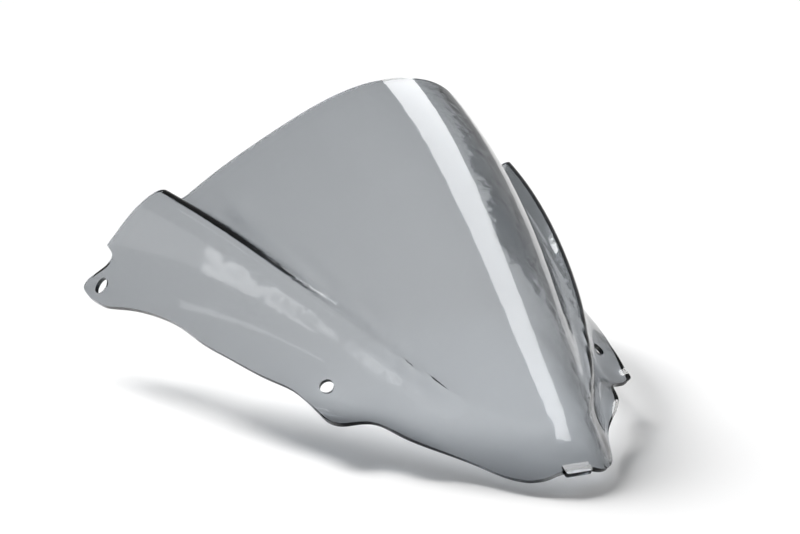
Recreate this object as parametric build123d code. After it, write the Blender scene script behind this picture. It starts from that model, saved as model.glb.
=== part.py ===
from build123d import *
from bisect import bisect
from math import cos, exp, log, radians, sin, sqrt
import os

os.makedirs("parts", exist_ok=True)

# Motorcycle windscreen: one moulded acrylic sheet, mirror-symmetric about X = 0.
# Frame: millimetres, +Z up as worn on the bike, nose towards -Y, lowest edge at Z = 0.
#
# The sheet is described over its draw plane: x across, u forward and down from the rear,
# n the height above the plane along the mould's draw direction. r below stands for u / 100.

sheet_thickness = 3.0
draw_tilt = 30.0          # degrees the draw direction leans forward from +Z
origin_y = 37.9           # draw plane origin in the part frame
origin_z = 78.0

# crown: height of the centreline, and the section falling away to each side of it
crown_rear_u = -67.0
crown_nose_u = 223.0
crown_rear_height = 106.9
crown_nose_height = 58.1
crown_bulge = 6.21
crown_bulge_skew = -1.96
wall_slope = (1.88, 0.054, 0.134, 0.029)
crown_roundness = (62.7, -5.87)
crown_power = (2.50, -0.013)
nose_bend_u = 222.0
nose_bend_slope = 0.69
nose_bend_reach = 3.0

# crease round the foot of the crown, the shelf inside it and the flared wing outside it
crease_nose_u = 207.6
crease_spread = 4.94
crease_roundness = 128.8
ridge_height = (30.7, 16.5, -2.8)
shelf_slope = 0.65
shelf_end_u = 79.5
shelf_fade = 25.0
wing_drop = (61.2, -33.3, 14.7)
wing_reach = (8.76, -0.55, -0.11)
wing_slope = (-0.100, 0.213, -0.452)
wing_roll = (0.0202, -0.0080)
tab_at = (95.0, 131.0)    # x and u of the middle of the dip round the mid tab
tab_drop = 7.2
tab_reach = 20.0
ridge_blend = (2.35, -1.15, 0.30)
valley_blend = 8.0

# outline, in the draw plane: rear edge of the left-hand half, and a margin beyond the trimmed sides
rear_edge = Spline(
    (0, -66), (50, -72), (79, -84), (99, -95), (114, -102), (125, -104), (135, -103.5),
    (140, -107), (148.5, -117), (157, -125), (172, -134), (190, -144),
)
margin_edge = Spline(
    (190, -144), (184, -80), (163, -20), (146, 30), (131, 75), (121, 112),
    (112, 142), (92, 165), (70, 192), (50, 219), (34, 240),
)
nose_margin_u = 240.0

# trim line of the right wing, drawn square to the wing: a forward, b upward
trim_direction = (-0.50, -0.41, 0.76)
trim_line = (
    (-211.5, -22.1), (-205.9, -26.9), (-204, -30.2), (-206.5, -33.3), (-213.2, -36.1),
    (-222.6, -39.5), (-227, -42.5), (-227.6, -46.3), (-224.3, -50.8), (-216.1, -56.8),
    (-206.6, -61.6), (-197.7, -65.5), (-180.1, -69.4), (-158.6, -74.3), (-137.1, -81.1),
    (-115.4, -90.2), (-93.2, -102.4), (-63, -115.9), (-25.6, -131.4), (-8.5, -137.3),
    (9.6, -147.5), (18.6, -153.4), (27.3, -157.8), (33.3, -157.4), (37.8, -154.5),
    (43, -152.1), (49.1, -151.2), (56.3, -152.4), (71.3, -157.6), (95.6, -160.6),
    (121.4, -165.5), (147.2, -170.8), (152.9, -170.2), (158.1, -168.3), (165.6, -162.3),
)
front_edge_run = 20.0     # straight run along the nose edge, just past the middle
trim_outside = ((235, -200), (150, -260), (-290, -180), (-290, 15), (-219, 15))
trim_from = -20.0
trim_to = 95.0

# holes: x and u of the axis on the outer face
ear_hole_d = 12.0
ear_hole_at = (-166.5, -103.5)
mid_hole_d = 9.0
mid_hole_at = (-96.0, 105.4)

# lip at the middle of the nose edge
lip_width = 17.0
lip_length = 7.0
lip_angle = 40.0
lip_corner_r = 1.5
lip_u = 228.0


def soft(v, w):
    """Zero for negative v, v for positive v, rounded over a width w."""
    return v if v > 30 * w else w * log(1 + exp(v / w))


def series(terms, r):
    return sum(term * r**power for power, term in enumerate(terms))


def height(x, u):
    """Height of the outer face above the draw plane."""
    r = u / 100
    back = (u - crown_rear_u) / 100
    front = (crown_nose_u - u) / 100
    crown = crown_rear_height + (crown_nose_height - crown_rear_height) * back / (back + front)
    crown += (crown_bulge + crown_bulge_skew * (back - front) / 2) * back * front
    crown -= nose_bend_slope * soft(u - nose_bend_u, nose_bend_reach)
    power = series(crown_power, r)
    round_x = series(crown_roundness, r)
    fall = (abs(x) ** power + round_x**power) ** (1 / power) - round_x
    bubble = crown - series(wall_slope, r) * fall

    q = sqrt(x * x + crease_roundness**2)
    past = u - crease_nose_u + crease_spread * (q - crease_roundness)
    past /= sqrt(1 + (crease_spread * x / q) ** 2)
    blend = series(ridge_blend, r)
    outside = soft(past, blend)
    inside = soft(-past, blend)
    shelf = shelf_slope * soft(shelf_end_u - u, shelf_fade) / 100 * inside
    drop = series(wing_drop, r) * (1 - exp(-outside / series(wing_reach, r)))
    drop += series(wing_slope, r) * outside + series(wing_roll, r) * outside**2
    tab = ((abs(x) - tab_at[0]) ** 2 + (u - tab_at[1]) ** 2) / tab_reach**2
    wing = series(ridge_height, r) - shelf - drop - tab_drop * exp(-tab)
    return (bubble + wing + sqrt((bubble - wing) ** 2 + valley_blend**2)) / 2


def world(x, u, n):
    c = cos(radians(draw_tilt))
    s = sin(radians(draw_tilt))
    return Vector(x, origin_y - c * u - s * n, origin_z - s * u + c * n)


def face_point(x, u):
    return world(x, u, height(x, u))


def face_normal(x, u):
    d = 0.05
    across = face_point(x + d, u) - face_point(x - d, u)
    along = face_point(x, u + d) - face_point(x, u - d)
    return along.cross(across).normalized()


# the outer face is a spline surface through rows of points: rows run from side to side,
# and their points lie closer together where they cross the crease
rear_samples = [rear_edge @ (i / 800) for i in range(801)]
rear_x = [p.X for p in rear_samples]


def rear_u(x):
    i = min(max(bisect(rear_x, x), 1), 800)
    a = rear_samples[i - 1]
    b = rear_samples[i]
    return a.Y + (b.Y - a.Y) * (x - a.X) / (b.X - a.X)


def plan_point(col, row):
    edge = margin_edge @ row
    corner = margin_edge @ 0
    start = rear_edge @ 0
    centre_u = start.Y + (nose_margin_u - start.Y) * row
    bow = rear_u(corner.X * col) - start.Y - (corner.Y - start.Y) * col**2
    return edge.X * col, centre_u + (edge.Y - centre_u) * col**2 + bow * max(0, 1 - row / 0.45) ** 2


cols = [0.58 * i / 14 for i in range(14)]
cols += [0.58 + 0.22 * i / 26 for i in range(26)]
cols += [0.80 + 0.20 * i / 10 for i in range(11)]
rows = [5 * i / 303 for i in range(54)] + [(270 + 3 * i) / 303 for i in range(12)]


def sheet_face(depth):
    """Spline surface a depth below the outer face."""
    grid = []
    for row in rows:
        half = [plan_point(col, row) for col in cols]
        across = [(-x, u) for x, u in reversed(half[1:])] + half
        grid.append([face_point(x, u) - face_normal(x, u) * depth for x, u in across])
    return Face.make_surface_from_array_of_points(grid, tol=0.05)


outer = sheet_face(0)
inner = sheet_face(sheet_thickness)
walls = []
for edge in outer.edges():
    partner = min(inner.edges(), key=lambda other: (other.center() - edge.center()).length)
    walls.append(Face.make_surface_from_curves(edge, partner))
shell = Solid(Shell([outer, inner, *walls]))

# trim both wings square to the sheet
trim_plane = Plane(
    origin=(0, origin_y, origin_z),
    x_dir=Vector(0, 0, 1).cross(Vector(*trim_direction)),
    z_dir=trim_direction,
)
trim_edge = Spline(*trim_line)
run = Vector(trim_plane.x_dir.X, trim_plane.y_dir.X) * front_edge_run
trim_sides = Polyline(trim_line[-1], run + Vector(*trim_line[-1]), *trim_outside, trim_line[0])
waste = trim_plane * Pos(0, 0, trim_from) * extrude(make_face([trim_edge, trim_sides]), trim_to - trim_from)
shell = shell - waste - waste.mirror(Plane.YZ)

# holes square to the sheet
for (x, u), diameter in ((ear_hole_at, ear_hole_d), (mid_hole_at, mid_hole_d)):
    axis = Plane(origin=face_point(x, u), z_dir=face_normal(x, u))
    drill = axis * Cylinder(diameter / 2, 12 * sheet_thickness)
    shell = shell - drill - drill.mirror(Plane.YZ)

# the lip leaves the outer face at an angle just above the nose edge
lip_plane = Plane(origin=face_point(0, lip_u), x_dir=(1, 0, 0), z_dir=face_normal(0, lip_u))
lip = Box(lip_width, lip_length, sheet_thickness)
lip = fillet(lip.edges().filter_by(Axis.Z).group_by(Axis.Y)[0], lip_corner_r)
lip = Pos(0, -lip_length / 2, -sheet_thickness / 2) * lip
shell = shell + lip_plane * Rot(-lip_angle, 0, 0) * lip

shell.label = "windscreen_shell"
export_step(shell, "parts/windscreen_shell.step")
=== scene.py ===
import math

import bpy
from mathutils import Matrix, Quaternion, Vector

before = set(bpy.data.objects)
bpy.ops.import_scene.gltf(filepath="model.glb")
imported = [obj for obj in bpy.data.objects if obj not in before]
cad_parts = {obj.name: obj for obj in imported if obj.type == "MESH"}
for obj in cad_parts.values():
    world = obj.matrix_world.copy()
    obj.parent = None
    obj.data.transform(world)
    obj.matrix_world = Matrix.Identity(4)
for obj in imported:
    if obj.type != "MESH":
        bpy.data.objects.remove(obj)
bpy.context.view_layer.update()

# ---------------------------------------------------------------- layout, in metres
ORIGIN_Y = 0.0379                    # centre of the part's draw plane
ORIGIN_Z = 0.0780
TARGET = Vector((0.0, ORIGIN_Y, ORIGIN_Z))
CAMERA = TARGET + Vector((-0.4931, -1.0111, 0.2514))
SENSOR_WIDTH = 36.0                  # millimetres, as is the focal length
FOCAL_LENGTH = 77.8
FLOOR_Z = -0.006                     # a little below the part's lowest edge
FLOOR_SIZE = 60

# ---------------------------------------------------------------- looks
ACRYLIC_IOR = 1.49
TINT_COLOUR = (0.40, 0.43, 0.46, 1.0)
TINT_DENSITY = 480.0                 # absorption per metre of acrylic
POLISH = (0.05, 0.09)                # least and most roughness
LAMP_PASS = (0.95, 0.95, 0.95, 1.0)  # what each face lets through of a lamp's light
PAPER_DARK = (0.90, 0.90, 0.90, 1.0)
PAPER_LIGHT = (0.93, 0.93, 0.93, 1.0)
PAPER_GLOW = 0.03
SKY_TOP_Z = 0.6                      # the sky darkens from the horizon up to this height
SKY_HORIZON = 0.45
SKY_OVERHEAD = 0.14

# ---------------------------------------------------------------- lamp directions
ACROSS = Vector((1, 0, 0))
DOWN = Vector((0, 0, -1))
KEY_DIRECTION = Vector((0.25, -0.95, -1.0))
KEY_ENERGY = 4.3
KEY_ANGLE = math.radians(25)


# ---------------------------------------------------------------- materials
def new_material(name):
    material = bpy.data.materials.new(name)
    material.use_nodes = True
    nodes = material.node_tree.nodes
    nodes.clear()
    return material, nodes, material.node_tree.links


def smoke_acrylic():
    """Tinted clear acrylic: a glossy dielectric skin over a grey absorbing volume."""
    material, nodes, links = new_material("smoke_acrylic")
    out = nodes.new("ShaderNodeOutputMaterial")
    coords = nodes.new("ShaderNodeTexCoord")

    glass = nodes.new("ShaderNodeBsdfPrincipled")
    glass.inputs["Transmission Weight"].default_value = 1.0
    glass.inputs["IOR"].default_value = ACRYLIC_IOR
    glass.inputs["Base Color"].default_value = (1.0, 1.0, 1.0, 1.0)

    # faint polish variation
    noise = nodes.new("ShaderNodeTexNoise")
    noise.inputs["Scale"].default_value = 18.0
    noise.inputs["Detail"].default_value = 3.0
    rough = nodes.new("ShaderNodeMapRange")
    rough.inputs["To Min"].default_value, rough.inputs["To Max"].default_value = POLISH
    links.new(coords.outputs["Object"], noise.inputs["Vector"])
    links.new(noise.outputs["Fac"], rough.inputs["Value"])
    links.new(rough.outputs["Result"], glass.inputs["Roughness"])

    volume = nodes.new("ShaderNodeVolumeAbsorption")
    volume.inputs["Color"].default_value = TINT_COLOUR
    volume.inputs["Density"].default_value = TINT_DENSITY

    # lamps shine through the sheet, dimmed by the tint, instead of being blocked by it
    rays = nodes.new("ShaderNodeLightPath")
    clear = nodes.new("ShaderNodeBsdfTransparent")
    clear.inputs["Color"].default_value = LAMP_PASS
    through = nodes.new("ShaderNodeMixShader")
    links.new(rays.outputs["Is Shadow Ray"], through.inputs["Fac"])
    links.new(glass.outputs["BSDF"], through.inputs[1])
    links.new(clear.outputs["BSDF"], through.inputs[2])
    links.new(through.outputs["Shader"], out.inputs["Surface"])
    links.new(volume.outputs["Volume"], out.inputs["Volume"])
    return material


def floor_paper():
    """Matt white paper with a barely visible tooth."""
    material, nodes, links = new_material("floor_paper")
    out = nodes.new("ShaderNodeOutputMaterial")
    paper = nodes.new("ShaderNodeBsdfPrincipled")
    paper.inputs["Roughness"].default_value = 0.9
    coords = nodes.new("ShaderNodeTexCoord")
    noise = nodes.new("ShaderNodeTexNoise")
    noise.inputs["Scale"].default_value = 6.0
    tone = nodes.new("ShaderNodeMix")
    tone.data_type = "RGBA"
    tone.inputs["A"].default_value = PAPER_DARK
    tone.inputs["B"].default_value = PAPER_LIGHT
    links.new(coords.outputs["Object"], noise.inputs["Vector"])
    links.new(noise.outputs["Fac"], tone.inputs["Factor"])
    links.new(tone.outputs["Result"], paper.inputs["Base Color"])
    links.new(tone.outputs["Result"], paper.inputs["Emission Color"])
    paper.inputs["Emission Strength"].default_value = PAPER_GLOW
    links.new(paper.outputs["BSDF"], out.inputs["Surface"])
    return material


# ---------------------------------------------------------------- studio
def paper_floor():
    bpy.ops.mesh.primitive_plane_add(size=FLOOR_SIZE, location=(0, 0, FLOOR_Z))
    floor = bpy.context.object
    floor.name = "studio_floor"
    floor.data.materials.append(floor_paper())


def softbox(name, location, direction, size, radiance, roll=0.0):
    """A rectangular lamp that shines in a direction, as bright as a surface of that radiance."""
    data = bpy.data.lights.new(name, "AREA")
    data.shape = "RECTANGLE"
    data.size, data.size_y = size
    data.energy = radiance * math.pi * size[0] * size[1]
    light = bpy.data.objects.new(name, data)
    light.location = location
    facing = direction.to_track_quat("-Z", "Y")
    light.rotation_euler = (facing @ Quaternion((0, 0, 1), math.radians(roll))).to_euler()
    light.visible_diffuse = False
    bpy.context.scene.collection.objects.link(light)


def key_sun():
    """The lamp that casts the soft shadow on the floor, and is not reflected in the acrylic."""
    data = bpy.data.lights.new("key", "SUN")
    data.energy = KEY_ENERGY
    data.angle = KEY_ANGLE
    light = bpy.data.objects.new("key", data)
    light.rotation_euler = KEY_DIRECTION.to_track_quat("-Z", "Y").to_euler()
    light.visible_glossy = False
    light.visible_transmission = False
    bpy.context.scene.collection.objects.link(light)


def surroundings():
    """White all round, pale at the horizon and dim overhead."""
    world = bpy.data.worlds.new("studio")
    world.use_nodes = True
    nodes = world.node_tree.nodes
    links = world.node_tree.links
    coords = nodes.new("ShaderNodeTexCoord")
    split = nodes.new("ShaderNodeSeparateXYZ")
    fade = nodes.new("ShaderNodeMapRange")
    fade.interpolation_type = "SMOOTHSTEP"
    fade.inputs["From Min"].default_value = 0.0
    fade.inputs["From Max"].default_value = SKY_TOP_Z
    fade.inputs["To Min"].default_value = SKY_HORIZON
    fade.inputs["To Max"].default_value = SKY_OVERHEAD
    links.new(coords.outputs["Generated"], split.inputs["Vector"])
    links.new(split.outputs["Z"], fade.inputs["Value"])
    links.new(fade.outputs["Result"], nodes["Background"].inputs["Strength"])
    nodes["Background"].inputs["Color"].default_value = (1, 1, 1, 1)
    bpy.context.scene.world = world


def studio_camera():
    data = bpy.data.cameras.new("camera")
    data.sensor_width = SENSOR_WIDTH
    data.lens = FOCAL_LENGTH
    camera = bpy.data.objects.new("camera", data)
    camera.location = CAMERA
    camera.rotation_euler = (TARGET - CAMERA).to_track_quat("-Z", "Y").to_euler()
    bpy.context.scene.collection.objects.link(camera)
    bpy.context.scene.camera = camera


# ---------------------------------------------------------------- the scene
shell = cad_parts["windscreen_shell"]
shell.data.materials.clear()
shell.data.materials.append(smoke_acrylic())

paper_floor()

# long box overhead, to the object's left: the strip that runs down the crown
softbox("overhead_strip", (0.64, -0.02, 1.28), DOWN, (0.56, 2.04), 6.5)

# slim tubes beside the right wing: the streaks of light along it
softbox("side_tube_low", (-0.60, 0.262, 0.079), ACROSS, (0.27, 0.015), 2.8)
softbox("side_tube_low_end", (-0.60, 0.008, 0.023), ACROSS, (0.25, 0.014), 2.5, roll=-18)
softbox("side_tube_high", (-0.60, 0.250, 0.275), ACROSS, (0.42, 0.036), 1.5)

key_sun()
surroundings()
bpy.context.scene.view_settings.view_transform = "Standard"
studio_camera()
